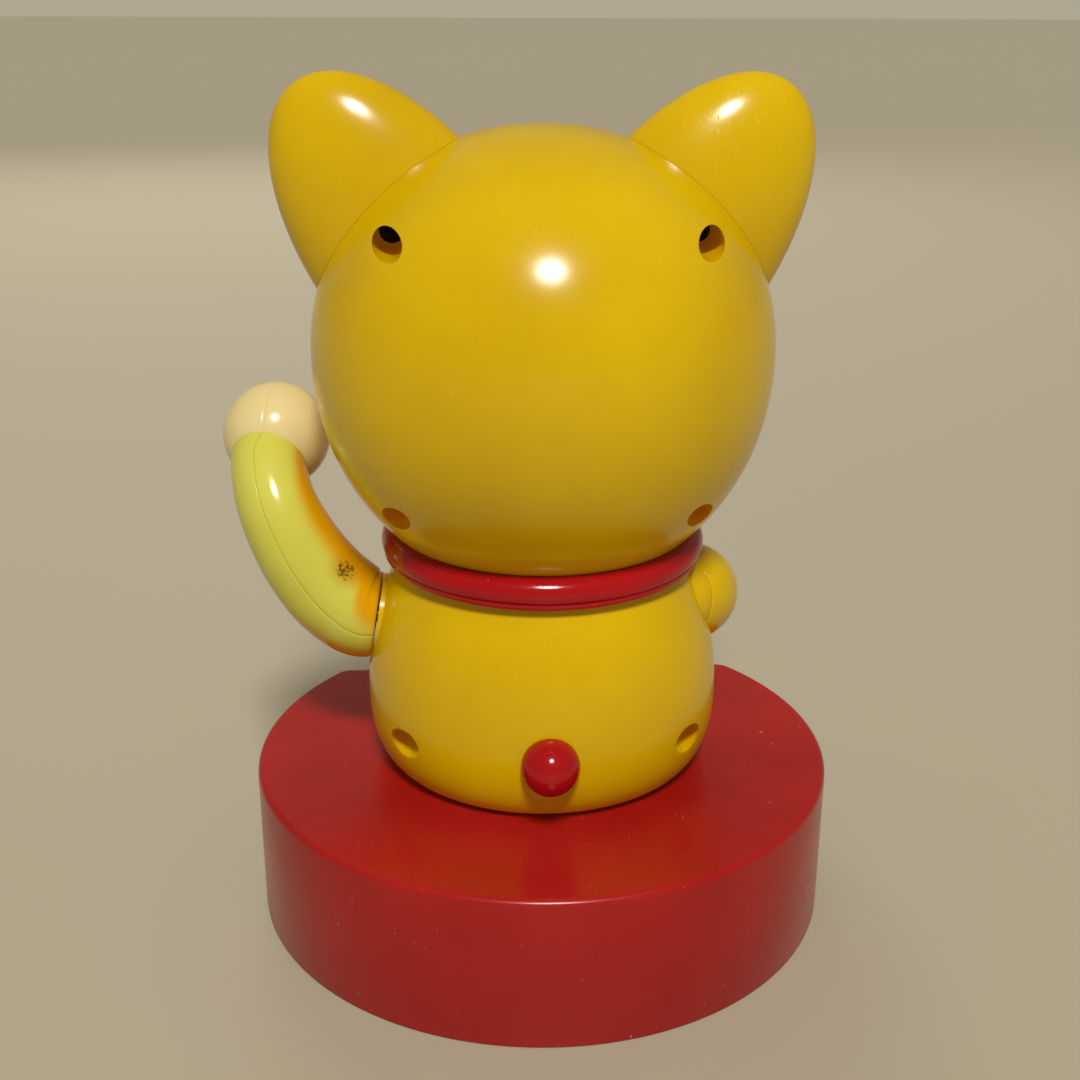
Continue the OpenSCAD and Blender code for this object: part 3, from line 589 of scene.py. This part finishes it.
def limb(path, first, section, rootInner=None, edge=0.7):
    # section gives (angle, inward) pairs round the ring; the strip is extruded along the path
    bm = bmesh.new()
    fadedAndShaded = bm.verts.layers.float.new("fadeAndShade")
    rows = []
    for i, (x, y, z, r) in enumerate(path):
        a, b = path[max(i - 1, 0)], path[min(i + 1, len(path) - 1)]
        heading = Vector(first) if i == 0 else (Vector(b[:3]) - Vector(a[:3])).normalized()
        u = yAxis.cross(heading).normalized()
        v = heading.cross(u)
        rows.append([(Vector((x, y, z)) + (u * math.cos(q) + v * math.sin(q)) * (r - deep)) * mm
                     for q, deep in section])
    if rootInner:
        # the root face, with a rounded edge that leads halfway out to the next ring's swell
        origin, heading = Vector(path[0][:3]), Vector(first)
        rootRadius, swell = path[0][3], path[1][3] - path[0][3]
        u = yAxis.cross(heading).normalized()
        v = heading.cross(u)
        rim = [(rootInner, 0.0), (rootRadius - edge, 0.0)]
        for i in range(1, 7):
            a = math.radians(15 * i)
            rim.append((rootRadius - edge + edge * math.sin(a), edge * (1 - math.cos(a))))
        rim[-1] = (rim[-1][0] + swell * 0.5, rim[-1][1])
        rows[0:1] = [[(origin + heading * rise + (u * math.cos(q) + v * math.sin(q)) * (r - deep)) * mm
                      for q, deep in section] for r, rise in rim]
    strip = [bm.verts.new(p) for p in rows[0]]
    edges = [bm.edges.new(pair) for pair in zip(strip, strip[1:])]
    for count, row in enumerate(rows[1:]):
        grown = bmesh.ops.extrude_edge_only(bm, edges=edges)["geom"]
        fresh = [g for g in grown if isinstance(g, bmesh.types.BMVert)]
        edges = [g for g in grown if isinstance(g, bmesh.types.BMEdge)]
        order = {old: k for k, old in enumerate(strip)}
        ranked = [None] * len(fresh)
        for vert in fresh:
            for side in vert.link_edges:
                if side.other_vert(vert) in order:
                    ranked[order[side.other_vert(vert)]] = vert
        for vert, p, (q, deep) in zip(ranked, row, section):
            vert.co = p
            vert[fadedAndShaded] = fadeAndShade(count - rimRows, math.degrees(q))
        strip = ranked
    return bm


# knots are x, y, z and radius; seam is the mould line's angle round the arm
leftArm = {"knots": ((34.2, 0, 61.8, 8.8), (37.3, -0.2, 62.5, 9.5), (40.7, -0.8, 64.6, 9.7),
                     (44.8, -1.2, 68.6, 9.5), (49.6, -2, 75.6, 8.9), (53.9, -4.5, 84.3, 8.1),
                     (56, -10, 91.4, 7.6), (55.6, -15, 94.4, 7.4)),
           "bore": 4.2, "paw": (55, -18, 95.5), "pawRadius": 11.1, "seam": 82.0, "ballSeam": 8.0,
           "ballNotch": 0.16, "dirt": (39.8, 5.0, 73.6), "dirtRadius": 5.0}


def step(low, high, value):
    t = min(max((value - low) / (high - low), 0.0), 1.0)
    return t * t * (3 - 2 * t)


def fadeAndShade(row, angle):
    # 1 where light has faded the arm to lemon, 0 on its inner side and on the underside near the shoulder,
    # where the orange is painted shade; row counts rings from the root, and angles are in degrees round the
    # arm
    a = angle % 360
    limit = 138 - 44 * (1 - step(2, 26, row)) + 14 * step(40, 64, row)
    inner = step(limit + 22, limit - 22, a) if a < 235 else step(285, 330, a)
    # painted shade: the underside near the shoulder is kept orange
    under = step(28, 78, (a + 60) % 360 - 60) if a < 90 or a > 270 else 1.0
    fadeAndShadeValue = 1 - (1 - under) * (1 - step(14, 40, row))
    root = 1 - 0.35 * (1 - step(0, 12, row)) * step(30, 70, a)
    return max(0.0, min(inner, fadeAndShadeValue, root))


def halfSection(start, end, count, lip=0.9):
    # half a ring in degrees, with a small rounded lip turned in along both seams
    edge = [(0.0, lip), (0.0, 0.28), (0.25, 0.12), (0.6, 0.03), (1.1, 0.0)]
    section = [(start + a, d) for a, d in edge]
    for i in range(1, count):
        section.append((start + 1.1 + (end - start - 2.2) * i / count, 0.0))
    section += [(end - a, d) for a, d in reversed(edge)]
    return [(math.radians(a), d) for a, d in section]


def armMaterial():
    # moulded ABS that light has bleached to lemon where it faces out, with painted shade left orange on the
    # underside near the shoulder, and grime rubbed into one spot
    mat, tree, shader, coords, lemon = mouldedPlastic("fadedAndShadedAbsLemon", "cecb52", "c5c248", "d6d35e",
                                                      0.17, 0.06)
    fadeAndShadeValue = addNode(tree, "ShaderNodeAttribute", {"attribute_type": "GEOMETRY", "attribute_name": "fadeAndShade"})
    cloud = addNode(tree, "ShaderNodeTexNoise", inputs={"Scale": 160.0, "Detail": 4.0},
                    links={"Vector": coords}).outputs["Fac"]
    ragged = addNode(tree, "ShaderNodeMath", {"operation": "MULTIPLY_ADD"}, {1: 0.3, 2: -0.15},
                     {0: cloud}).outputs[0]
    edge = addNode(tree, "ShaderNodeMath", {"operation": "ADD"},
                   links={0: fadeAndShadeValue.outputs["Fac"], 1: ragged}).outputs[0]
    mask = addNode(tree, "ShaderNodeMapRange", {"interpolation_type": "SMOOTHSTEP"},
                   {"From Min": 0.05, "From Max": 1.0}, {"Value": edge}).outputs[0]
    # orange where the mask is low: the plastic's unfaded tone, and painted shade on the underside near the
    # shoulder
    fadedAndShaded = mixColour(tree, mask, hexColour("d89c00"), lemon)
    spot = addNode(tree, "ShaderNodeVectorMath", {"operation": "DISTANCE"},
                   {1: tuple(v * mm for v in leftArm["dirt"])}, {0: coords}).outputs["Value"]
    near = addNode(tree, "ShaderNodeMapRange", {"interpolation_type": "SMOOTHSTEP"},
                   {"From Min": leftArm["dirtRadius"] * mm, "From Max": 0.6 * mm, "To Max": 0.64},
                   {"Value": spot}).outputs[0]
    grit = addNode(tree, "ShaderNodeTexNoise", inputs={"Scale": 1500.0, "Detail": 3.0},
                   links={"Vector": coords}).outputs["Fac"]
    both = addNode(tree, "ShaderNodeMath", {"operation": "MULTIPLY"}, links={0: near, 1: grit}).outputs[0]
    grime = ramp(tree, both, [(0.25, grey(0.0)), (0.33, grey(0.75))])
    stained = mixColour(tree, near, fadedAndShaded, hexColour("b88200"))
    tree.links.new(mixColour(tree, grime, stained, hexColour("3c2606")), shader.inputs["Base Color"])
    return mat


lemonAbs = armMaterial()
arm = smoothPath(leftArm["knots"], 10)
seam, bore = leftArm["seam"], leftArm["bore"]
outerHalf = limb(arm, armAxis, halfSection(seam - 180, seam, 54), bore)
innerHalf = limb(arm, armAxis, halfSection(seam, seam + 180, 54), bore)
finishPiece("armOuterShell", outerHalf, lemonAbs, "arm", ["arm_outer"], 50)
finishPiece("armInnerShell", innerHalf, lemonAbs, "arm", ["arm_inner"], 50)
turnSeam = math.radians(leftArm["ballSeam"])
seamNormal = Vector((math.cos(turnSeam), -math.sin(turnSeam), 0))
seamTurn = zAxis.rotation_difference(seamNormal).to_matrix().to_4x4()
bm = ball(leftArm["paw"], leftArm["pawRadius"], leftArm["ballNotch"], seamTurn)
finishPiece("pawLeft", bm, creamAbs, "arm", ["left_paw"])

rightArm = {"knots": ((-27, 3, 66.4, 8.8), (-30.6, -2, 65.2, 10.2), (-31.6, -11, 62.2, 9.6),
                      (-28.6, -23, 58.6, 8.6), (-21.5, -32, 55.4, 7.8)),
            "leaves": (-4, -6, -0.6), "paw": (-15.5, -36.6, 53.6), "pawRadius": 8.2}
path = smoothPath(rightArm["knots"], 10)
start = Vector(rightArm["leaves"]).normalized()
root, rootRadius = Vector(path[0][:3]), path[0][3]
dome = []  # rings that round the arm's end off inside the body
for i in range(10):
    a = math.radians(88 - 8.8 * i)
    dome.append([*(root - start * rootRadius * math.sin(a)), rootRadius * math.cos(a)])
path = dome + path
ring = [(2 * math.pi * i / 72, 0.0) for i in range(73)]
bm = limb(path, start, ring)
bmesh.ops.remove_doubles(bm, verts=bm.verts, dist=1e-6)
bmesh.ops.holes_fill(bm, edges=[e for e in bm.edges if e.is_boundary], sides=0)
finishPiece("armRight", combine(bm, [("DIFFERENCE", bodySolid())]), yellowAbs, "frame", ["right_arm"], 35)
bm = combine(ball(rightArm["paw"], rightArm["pawRadius"]), [("DIFFERENCE", bodySolid())])
finishPiece("pawRight", bm, creamAbs, "frame", ["right_paw"], 35)

foot = {"x": 15, "y": -28.8, "z": 37.8, "radius": 8.6, "sole": 31.45, "block": 100}
for side, name, node in ((1, "footLeft", "foot_left"), (-1, "footRight", "foot_right")):
    x, y, half = side * foot["x"], foot["y"], foot["block"] / 2
    ground = bmesh.new()
    bmesh.ops.create_cube(ground, size=foot["block"] * mm,
                          matrix=Matrix.Translation(Vector((x, y, foot["sole"] - half)) * mm))
    bm = combine(ball((x, y, foot["z"]), foot["radius"]),
                 [("DIFFERENCE", bodySolid()), ("DIFFERENCE", ground)])
    finishPiece(name, bm, creamAbs, "frame", [node], 35)
print("arms and feet made")


# CAD nodes that stay only get their finish; the rest are steel
finishes = (
    (redAbs, ("base_cover",)),
    (yellowAbs, ("neck_spool",)),
    (creamAbs, ("ear_lining_left", "ear_lining_right")),
    (blackInk, ("eye_left", "eye_right")),
    (brownInk, ("nose", "mouth", "whiskers")),
    (springSteel, ("mainspring",)),
    (brassSheet, ("shoulder_bush", "rod_guide", "shaft_lever", "crank_disc",
                  "great_wheel", "second_wheel", "crank_wheel", "fourth_wheel")),
    (screwBlack, ("head_screws", "body_screws")))
finishOf = {name: material for material, names in finishes for name in names}
for name, obj in nodes.items():
    material = finishOf.get(name, steelBright)
    if obj.data.materials:
        for i in range(len(obj.data.materials)):
            obj.data.materials[i] = material
    else:
        obj.data.materials.append(material)
print("finishes set")


# floor, light and camera
studio = {"floorSize": 30.0, "floor": "b0a792", "sky": "dcd2b8", "skyLight": 0.34, "skySeen": 0.6,
          "keyPower": 2.65, "keyAngle": 11, "keyColour": (1.0, 0.98, 0.94), "keyAim": (0.05, -1.03, -1.34),
          "fillPower": 6, "fillColour": (1.0, 0.98, 0.95), "fillPlace": (0.3, -1.4, 0.9),
          "fillAim": (0, 0, 0.09), "fillSize": (1.0, 0.8)}


def makeFloor():
    bm = bmesh.new()
    bmesh.ops.create_grid(bm, x_segments=2, y_segments=2, size=studio["floorSize"])
    floor = looseObject("floor", bm)
    mat, tree, shader, coords = startMaterial("paleFloor")
    shader.inputs["Base Color"].default_value = hexColour(studio["floor"])
    shader.inputs["Roughness"].default_value = 0.55
    floor.data.materials.append(mat)


def addLight(name, kind, power, colour, aim):
    # aim is the direction that the light shines in
    data = bpy.data.lights.new(name, kind)
    data.energy = power
    data.color = colour
    light = bpy.data.objects.new(name, data)
    bpy.context.scene.collection.objects.link(light)
    light.rotation_euler = Vector(aim).to_track_quat("-Z", "Y").to_euler()
    return light


makeFloor()
key = addLight("keySoft", "SUN", studio["keyPower"], studio["keyColour"], studio["keyAim"])
key.data.angle = math.radians(studio["keyAngle"])
fillPlace = Vector(studio["fillPlace"])
fill = addLight("frontFill", "AREA", studio["fillPower"], studio["fillColour"],
                Vector(studio["fillAim"]) - fillPlace)
fill.location = fillPlace
fill.data.shape = "ELLIPSE"
fill.data.size, fill.data.size_y = studio["fillSize"]
fill.visible_glossy = False  # its reflection would show as a pale patch on the base's top
world = bpy.data.worlds.new("softRoom")
world.use_nodes = True
bpy.context.scene.world = world
sky = world.node_tree.nodes["Background"]
sky.inputs["Color"].default_value = hexColour(studio["sky"])
seen = addNode(world.node_tree, "ShaderNodeLightPath").outputs["Is Camera Ray"]
strength = addNode(world.node_tree, "ShaderNodeMapRange",
                   inputs={"To Min": studio["skyLight"], "To Max": studio["skySeen"]},
                   links={"Value": seen}).outputs[0]
world.node_tree.links.new(strength, sky.inputs["Strength"])

camera = {"place": (0.01326, 0.27988, 0.1798), "forward": (-0.0429, -0.9386, -0.3424),
          "up": (-0.0122, -0.3422, 0.9395), "lens": 48.65, "sensor": 36.0}
data = bpy.data.cameras.new("viewCamera")
data.lens = camera["lens"]
data.sensor_width = camera["sensor"]
data.clip_start = 0.01
viewCamera = bpy.data.objects.new("viewCamera", data)
bpy.context.scene.collection.objects.link(viewCamera)
back = -Vector(camera["forward"]).normalized()
upward = Vector(camera["up"])
right = upward.cross(back).normalized()
upward = back.cross(right)
turn = Matrix((right, upward, back)).transposed().to_4x4()
viewCamera.matrix_world = Matrix.Translation(Vector(camera["place"])) @ turn
bpy.context.scene.camera = viewCamera

bpy.context.scene.view_settings.view_transform = "Standard"
print("scene ready")
